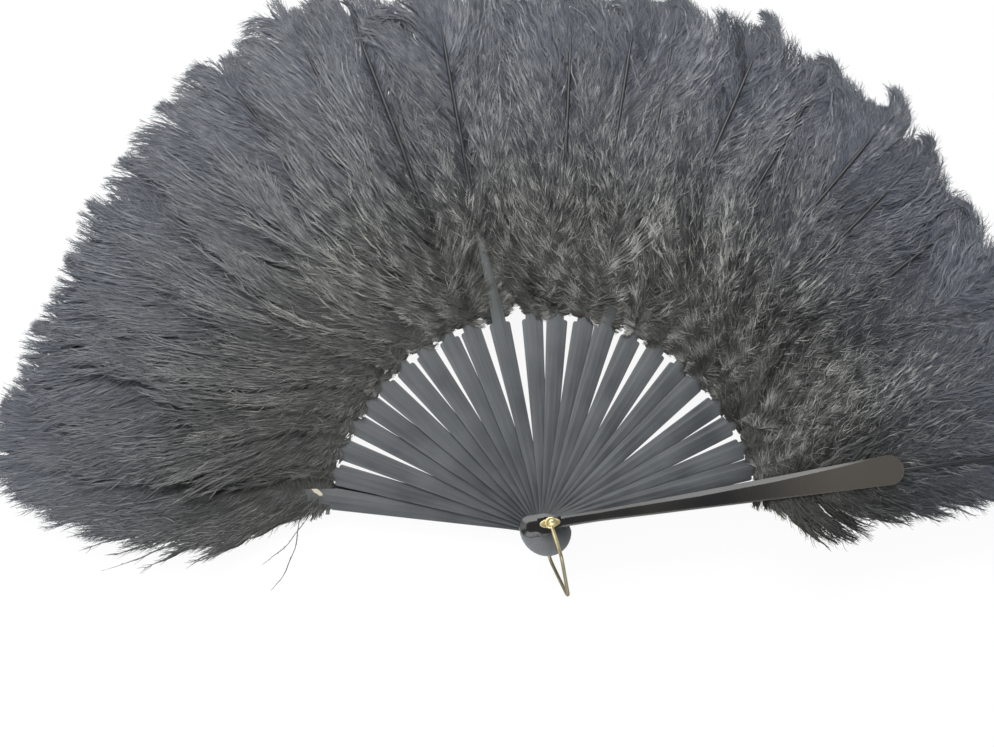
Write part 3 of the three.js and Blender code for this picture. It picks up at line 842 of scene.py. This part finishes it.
def barbRise(at, side, way, length, number, spread):  # height of each barb along its way, over the shaft
    lift = np.where(side > 0, valueAt("leftLift", spread), -valueAt("rightDrop", spread))[:, None]
    rise = lift * way * length[:, None] / plume["liftPer"]
    rise = rise + plume["arch"] * length[:, None] * (way - plume["archFall"] * way ** 2)
    risen, (fallFrom, fallTo) = plume["rootRise"], plume["rootFall"]
    rootHeight, tucked, free = plume["bareTongues"].get(number, (risen, *plume["rootTuck"]))
    places = (tucked, free, max(free, fallFrom), fallTo)
    return rise + np.interp(at, places, (rootHeight, risen, risen, 0))[:, None]


def barbPaths(rng, rim, lean, droop, number, spread):  # a row of points for each barb, from the shaft out
    groups = barbGroups(rng)
    side, at, clump, lock = (groups[key] for key in ("side", "at", "clump", "lock"))
    count, clumps, locks = len(side), 2 * plume["clumpsPerSide"], 2 * plume["locksPerSide"]
    clumpCurl = np.clip(groups["byClump"]["curl"], -plume["curlMost"], plume["curlMost"])
    phase = rng.uniform(0, 2 * math.pi, clumps)[clump] + rng.normal(0, plume["phaseByLock"], locks)[lock]
    turn = np.radians(uneven(groups, "turn") + rng.normal(0, plume["turnBy"][2], count))
    base = shaftPath(at, rim, lean, droop)
    farLeft = (side > 0) & (spread > plume["farLeftFrom"])
    farRight = (side < 0) & (spread < plume["farRightTo"])
    out, ahead = barbReach(at, side, base, rim, number, spread, farLeft, farRight)
    bend = np.radians(valueAt("bend", at))
    chord = np.arctan2(out, ahead) + turn
    length = np.hypot(out, ahead) * bend / np.sin(bend)
    length *= uneven(groups, "stretch", 1) + rng.normal(0, plume["stretchBy"][2], count)
    curl = np.radians(valueAt("curl", at)) * clumpCurl
    curl *= np.where(farLeft | farRight, plume["outerCurl"], 1)
    bare = np.zeros(count, bool)
    for barb, outwards, stretch in plume["wisps"].get(number, ()):
        row = plume["barbsPerSide"] + barb  # on the left side
        chord[row] += math.radians(outwards)
        length[row] *= stretch
        bare[row] = True
    hooked = np.clip(plume["hookAtRight"] - spread * plume["hookFall"], plume["hookLeast"], 1)
    hooked = hooked * np.clip(plume["hookMean"] + plume["hookByCurl"] * clumpCurl, 0, plume["hookMost"])
    hook = np.radians(valueAt("hook", at)) * hooked
    hook *= np.where(side > 0, valueAt("hookLeft", spread), -valueAt("hookRight", spread))
    tipStretch = np.where(side > 0, valueAt("tipLeft", spread), valueAt("tipRight", spread))
    length *= 1 + (tipStretch - 1) * np.interp(at, plume["tipOver"], (0, 1))
    way = np.linspace(0, 1, plume["pathPoints"])[None, :]  # share of the way along a barb
    heading = chord[:, None] + bend[:, None] * (1 - 2 * way) + curl[:, None] * way ** plume["curlPower"]
    heading += hook[:, None] * way ** plume["hookPower"]
    smooth = np.where(farRight, plume["outerSmooth"], 1)
    wave = math.radians(valueAt("waveAngle", spread)) * np.clip(way / plume["waveFrom"], 0, 1)
    wave = wave * smooth[:, None]
    heading += wave * np.sin(2 * math.pi * way * length[:, None] / plume["waveLength"] + phase[:, None])
    step = (length / (plume["pathPoints"] - 1))[:, None]
    move = np.stack([np.cos(heading), side[:, None] * np.sin(heading)], axis=-1) * step[..., None]
    between = (move[:, 1:] + move[:, :-1]) / 2
    flat = np.cumsum(np.concatenate([np.zeros((count, 1, 2)), between], axis=1), axis=1)
    contrast = valueAt("contrast", spread)
    tousled = min(1, contrast) * uneven(groups, "lift")
    rise = barbRise(at, side, way, length, number, spread)
    rise += tousled[:, None] * np.sin(way * math.pi * plume["liftShape"])
    paths = np.concatenate([base[:, None, :2] + flat, base[:, None, 2:] + rise[..., None]], axis=-1)
    tone = uneven(groups, "tone") + plume["toneBy"][2] * rng.normal(0, 1, count)
    tone *= contrast * valueAt("toneVariety", at)
    tone += (plume["toneMiddle"] + valueAt("toneBySpread", spread) + valueAt("toneByReach", at)
             + plume["outerRightTone"] * farRight)
    crimp = rng.uniform(0, 2 * math.pi, clumps)[clump]
    crimp = crimp + rng.normal(0, plume["crimpByLock"], locks)[lock]
    crimp = crimp + rng.normal(0, plume["crimpByBarb"], count)
    return dict(paths=paths, heading=heading, side=side, at=at, length=length, bare=bare, crimp=crimp,
                tone=tone, roll=min(1, contrast) * uneven(groups, "roll"),
                paintedCrimpSheen=valueAt("paintedTwistSheen", spread) * smooth,
                paintedShaftShadow=plume["paintedShaftShadow"] if shaftShows(spread) else 0.0)


def barbPoints(barbs, row, at):  # points and headings at shares of the way along some barbs
    spot = np.clip(at, 0, 1) * (plume["pathPoints"] - 1)
    low = np.minimum(spot.astype(int), plume["pathPoints"] - 2)
    share = spot - low
    paths, headings = barbs["paths"], barbs["heading"]
    centre = paths[row, low] * (1 - share)[..., None] + paths[row, low + 1] * share[..., None]
    return centre, headings[row, low] * (1 - share) + headings[row, low + 1] * share


def crimpAt(barbs, row, at):  # the twist of a barb there, from -1 to 1
    return np.sin(2 * math.pi * at * barbs["length"][row] / plume["twistLength"] + barbs["crimp"][row])


def paintedShaftShadowAt(barbs, at):  # painted shadow of the shaft: how much darker strands are beside it
    return barbs["paintedShaftShadow"] * np.clip(1 - at / plume["paintedShaftShadowTo"], 0, 1)


def ribbons(centre, roll, width):  # a narrow strip along each row of centres, turned about its own line
    tangent = np.gradient(centre, axis=1)
    tangent /= np.linalg.norm(tangent, axis=2, keepdims=True)
    flat = np.stack([-tangent[..., 1], tangent[..., 0], np.zeros(tangent.shape[:2])], axis=-1)
    flat /= np.linalg.norm(flat, axis=2, keepdims=True)
    raised = np.cross(tangent, flat)
    across = flat * np.cos(roll)[..., None] + raised * np.sin(roll)[..., None]
    half = across * width[..., None] / 2
    return np.stack([centre - half, centre + half], axis=2)


def barbRibbons(rng, barbs):
    count, steps = len(barbs["side"]), plume["barbSteps"]
    rows, at = np.arange(count)[:, None], np.linspace(0, 1, steps)[None, :]
    centre, _ = barbPoints(barbs, rows, np.broadcast_to(at, (count, steps)))
    twist = crimpAt(barbs, rows, at)
    roll = (barbs["roll"] + rng.normal(0, plume["rollBy"][2], count))[:, None]
    roll = np.radians(roll + plume["twistAngle"] * twist)
    width = valueAt("barbWidth", at) * rng.uniform(*plume["barbVary"], count)[:, None]
    width *= np.where(barbs["bare"], plume["wispWidth"], 1)[:, None]
    # painted shade: darker towards the shaft, lighter towards the strand's end
    tone = barbs["tone"][:, None] - plume["barbDarker"] + plume["paintedGrooveShade"] * (at - 0.5)
    # painted sheen as the barb twists, and painted shadow beside the shaft
    tone = tone + barbs["paintedCrimpSheen"][:, None] * twist - paintedShaftShadowAt(barbs, at)
    return ribbons(centre, roll, width), np.clip(tone, 0, plume["toneTop"])


def paintedShadeRibbons(barbs):  # painted shade: dark strips under the barbs that fill the gaps between them
    rows = np.flatnonzero(~barbs["bare"])[::plume["paintedShadeEvery"]]
    at = np.broadcast_to(np.linspace(0, 1, plume["barbSteps"]), (len(rows), plume["barbSteps"]))
    centre, _ = barbPoints(barbs, rows[:, None], at)
    centre = centre - np.array([0, 0, plume["paintedShadeDrop"]])
    tone = np.full(at.shape, plume["paintedShadeTone"])
    return ribbons(centre, np.zeros(at.shape), valueAt("paintedShadeWidth", at)), tone


def barbuleRibbons(rng, barbs, spread):  # short fine strands that leave each barb and lie along it
    steps = plume["barbuleSteps"]
    barb = np.repeat(np.arange(len(barbs["side"])), plume["barbulesPerBarb"])
    count = len(barb)
    start = rng.uniform(0, 1, count)
    room = barbs["length"][barb] * np.minimum(plume["barbuleRoom"], plume["barbulePast"] - start)
    long = np.minimum(rng.uniform(*plume["barbuleLength"], count), room)
    long = long * np.where(barbs["bare"][barb], plume["wispFluff"], 1)
    way = np.linspace(0, 1, steps)[None, :]
    centre, heading = barbPoints(barbs, barb[:, None], np.repeat(start[:, None], steps, axis=1))
    side = barbs["side"][barb][:, None]
    fuzz = valueAt("barbuleAngle", spread) * valueAt("rootFuzz", barbs["at"][barb])
    flareStart, flareFall = plume["barbuleFlare"]
    bent = heading + np.radians(fuzz * rng.normal(0, 1, count))[:, None] * (flareStart - flareFall * way)
    step = (long / (steps - 1))[:, None]
    rise = np.tan(rng.normal(0, plume["barbuleTilt"], count))[:, None] * step * (1 - way)
    move = np.stack([np.cos(bent) * step, side * np.sin(bent) * step, rise], axis=-1)
    centre[:, 1:] += np.cumsum(move[:, :-1], axis=1)
    rollOf, rollAlong = (rng.normal(0, vary, count) for vary in plume["barbuleRoll"])
    roll = np.radians((barbs["roll"][barb] + rollOf)[:, None] + rollAlong[:, None] * way)
    width = plume["barbuleWidth"] + (plume["barbuleTip"] - plume["barbuleWidth"]) * way
    width = width * rng.uniform(*plume["barbuleVary"], count)[:, None]
    # painted shade: darker towards the shaft, lighter towards the barb's end
    tone = barbs["tone"][barb] + plume["paintedGrooveShade"] * (start - 0.5)
    # painted sheen as the barb twists
    tone = tone + barbs["paintedCrimpSheen"][barb] * crimpAt(barbs, barb, start)
    # painted shadow beside the shaft
    tone = tone + rng.normal(0, plume["toneBy"][3], count) - paintedShaftShadowAt(barbs, start)
    tone = np.clip(tone, 0, plume["toneTop"])
    return ribbons(centre, roll, width), np.broadcast_to(tone[:, None], (count, steps))


def shaftTube(rim, lean, droop, number, spread):
    start = (plume["shaftRoot"] - plume["root"]) / (rim - plume["shaftShort"] - plume["root"])
    at = np.linspace(start, 1.0, plume["shaftRings"])
    radii = plume["shaftThick"] + (plume["shaftThin"] - plume["shaftThick"]) * at
    radii *= np.clip((1 - at) / plume["shaftPoint"], plume["shaftBlunt"], 1)  # the end runs out to a point
    radii[0] = radii[-1] = plume["shaftEnd"]
    risen = plume["boldShafts"].get(number, plume["shaftRise" if shaftShows(spread) else "shaftSink"])
    heights = np.interp(at, plume["shaftRiseOver"], (plume["shaftSink"], risen))
    line = shaftPath(at, rim, lean, droop) + np.outer(heights, (0, 0, 1))
    return tubeFaces(line, radii, plume["shaftSides"], (0, 0, 1))


def stripFaces(strips, steps, first):  # quads of some ribbons whose points start at first
    corner = first + (np.arange(strips) * 2 * steps)[:, None] + 2 * np.arange(steps - 1)[None, :]
    return np.stack([corner, corner + 1, corner + 3, corner + 2], axis=-1).reshape(-1, 4)


def stripUv(strips, steps, columns, low, high):  # a cell with margins for each ribbon, in a band
    rows = math.ceil(strips / columns)
    column, row = np.arange(strips) % columns, np.arange(strips) // columns
    u = (column[:, None] + np.linspace(0.04, 0.96, steps)) / columns
    tall = (high - low) / rows
    v = low + (row[:, None] + np.array([0.15, 0.85])) * tall
    point = np.empty((strips, steps, 2, 2))
    point[..., 0] = u[:, :, None]
    point[..., 1] = v[:, None, :]
    return point.reshape(-1, 2)


def plumeUv(broad, fine):  # the shaft at the top of the sheet, then barbs and the painted shade strips, then barbules
    rings, sides, band = plume["shaftRings"], plume["shaftSides"], plume["uvBand"]
    broadLow, broadHigh = 1 - 8 * band, 1 - 2 * band
    shaftV = 1 - band * np.tile(np.linspace(0.1, 0.9, sides), rings)
    shaft = np.stack([np.repeat(np.linspace(0, 1, rings), sides), shaftV], axis=-1)
    broadUv = stripUv(broad, plume["barbSteps"], plume["uvBroadColumns"], broadLow, broadHigh)
    fineUv = stripUv(fine, plume["barbuleSteps"], plume["uvColumns"], 0, broadLow)
    return np.concatenate([shaft, broadUv, fineUv])


def plumeMesh(name, seed, height, materials, number, spread):
    rng = np.random.default_rng(seed)
    lean = plume["leans"].get(number, rng.normal(0, plume["leanVary"]))
    droop = rng.uniform(*plume["droop"])
    rim = valueAt("rim", spread)
    barbs = barbPaths(rng, rim, lean, droop, number, spread)
    barbStrips, barbTone = barbRibbons(rng, barbs)
    fineStrips, fineTone = barbuleRibbons(rng, barbs, spread)
    paintedShadeStrips, paintedShadeTone = paintedShadeRibbons(barbs)
    shaftPoints, shaftQuads = shaftTube(rim, lean, droop, number, spread)
    sets = (shaftPoints, barbStrips, paintedShadeStrips, fineStrips)
    points = np.concatenate([part.reshape(-1, 3) for part in sets])
    points[:, 2] = np.maximum(points[:, 2], plume["lowest"] - height)
    broad, fine = len(barbStrips) + len(paintedShadeStrips), len(fineStrips)
    broadQuads = stripFaces(broad, plume["barbSteps"], len(shaftPoints))
    fineQuads = stripFaces(fine, plume["barbuleSteps"], len(shaftPoints) + broad * 2 * plume["barbSteps"])
    quads = np.concatenate([shaftQuads, broadQuads, fineQuads]).astype(np.int32)
    mesh = bpy.data.meshes.new(name)
    mesh.vertices.add(len(points))
    mesh.vertices.foreach_set("co", (points * mm).astype(np.float32).ravel())
    mesh.loops.add(quads.size)
    mesh.loops.foreach_set("vertex_index", quads.ravel())
    mesh.polygons.add(len(quads))
    mesh.polygons.foreach_set("loop_start", np.arange(0, quads.size, 4, dtype=np.int32))
    kinds = np.repeat([1, 0], [len(shaftQuads), len(quads) - len(shaftQuads)])  # quill, then strands
    mesh.polygons.foreach_set("material_index", kinds.astype(np.int32))
    mesh.update(calc_edges=True)
    mesh.polygons.foreach_set("use_smooth", np.ones(len(quads), bool))
    shading = mesh.attributes.new("tone", "FLOAT", "POINT")
    tones = [np.repeat(part, 2) for part in (barbTone, paintedShadeTone, fineTone)]
    tone = np.concatenate([np.full(len(shaftPoints), plume["shaftTone"]), *tones])
    shading.data.foreach_set("value", tone.astype(np.float32))
    sheet = mesh.uv_layers.new(name="OFBake")
    uv = plumeUv(broad, fine)
    sheet.uv.foreach_set("vector", uv[quads.ravel()].astype(np.float32).ravel())
    for material in materials:
        mesh.materials.append(material)
    return mesh


def makePlumes():
    materials = (dyedOstrichPlume(), dyedQuill())
    owners = [(f"feather_{n}", f"stick_{n}", f"plume_{n}", n) for n in stickNumbers]
    for place in ("front", "rear"):
        owners.append((f"{place}_guard_feather", f"{place}_guard", f"{place}_guard_plume", place))
    start, stop = nodeAngle("front_guard"), nodeAngle("stick_23")
    for seed, (node, body, name, number) in enumerate(owners, plume["firstSeed"]):
        height = sum(nodeHeights(node)) / 2
        spread = (nodeAngle(body) - start) / (stop - start)
        mesh = plumeMesh(name, seed, height, materials, number, spread)
        addPiece(name, mesh, None, body, node, nodeAngle(body), height)


makePlumes()
print("plumes made")


# Floor, lights and world
studio = dict(
    floor="#f4f4f4", floorGlow=0.92, floorSize=80.0,  # m
    aim=(0, 0.1, 0),  # where the lamps point
    key=dict(spot=(-0.2, 1.2, 1.15), wide=1.8, tall=0.9, power=28.0),
    left=dict(spot=(-1.0, 0.1, 1.3), wide=1.0, tall=1.0, power=8.0),
    front=dict(spot=(0.0, -1.2, 1.0), wide=1.4, tall=0.8, power=15.0),
    haze="#ffffff", horizon="#d9dadc", zenith="#6f7073", worldStrength=1.0,
)


# Pale paper: matt under the object, and an even white to the eye
def makeFloor():
    material = bpy.data.materials.new("pale paper floor")
    material.use_nodes = True
    tree = material.node_tree
    tree.nodes.clear()
    paper = addNode(tree, "ShaderNodeBsdfDiffuse", {"Color": hexToLinear(studio["floor"])})
    glow = addNode(tree, "ShaderNodeEmission", {"Color": (1, 1, 1, 1), "Strength": 1.0})
    ray = addNode(tree, "ShaderNodeLightPath")
    seen = ray.outputs["Is Camera Ray"]
    for kind in ("Is Glossy Ray", "Is Transmission Ray"):
        either = addNode(tree, "ShaderNodeMath", links={0: seen, 1: ray.outputs[kind]}, operation="MAXIMUM")
        seen = either.outputs[0]
    share = addNode(tree, "ShaderNodeMath", {1: studio["floorGlow"]}, {0: seen}, operation="MULTIPLY")
    surface = addNode(tree, "ShaderNodeMixShader",
                      links={0: share.outputs[0], 1: paper.outputs[0], 2: glow.outputs[0]})
    addNode(tree, "ShaderNodeOutputMaterial", links={"Surface": surface.outputs[0]})
    half = studio["floorSize"] / 2 / mm
    corners = [(-half, -half, 0), (half, -half, 0), (half, half, 0), (-half, half, 0)]
    mesh = meshFromFaces("floor", corners, [(0, 1, 2, 3)])
    mesh.materials.append(material)
    floor = bpy.data.objects.new("floor", mesh)
    bpy.context.scene.collection.objects.link(floor)


def makeLights():
    for name in ("key", "left", "front"):
        lamp = studio[name]
        data = bpy.data.lights.new(name, "AREA")
        data.shape = "RECTANGLE"
        data.size = lamp["wide"]
        data.size_y = lamp["tall"]
        data.energy = lamp["power"]
        light = bpy.data.objects.new(name, data)
        light.location = lamp["spot"]
        towards = Vector(studio["aim"]) - Vector(lamp["spot"])
        light.rotation_euler = towards.to_track_quat("-Z", "Y").to_euler()
        bpy.context.scene.collection.objects.link(light)
    world = bpy.data.worlds.new("studio")
    bpy.context.scene.world = world
    world.use_nodes = True
    tree = world.node_tree
    tree.nodes.clear()
    place = addNode(tree, "ShaderNodeTexCoord")
    parts = addNode(tree, "ShaderNodeSeparateXYZ", links={0: place.outputs["Generated"]})
    sky = addNode(tree, "ShaderNodeValToRGB", links={"Fac": parts.outputs["Z"]})
    setRamp(sky, [(0.0, studio["haze"]), (0.25, studio["horizon"]), (0.8, studio["zenith"])])
    light = addNode(tree, "ShaderNodeBackground", {"Strength": studio["worldStrength"]},
                    {"Color": sky.outputs["Color"]})
    addNode(tree, "ShaderNodeOutputWorld", links={"Surface": light.outputs[0]})


makeFloor()
makeLights()
bpy.context.scene.view_settings.view_transform = "Standard"
print("floor and lights made")
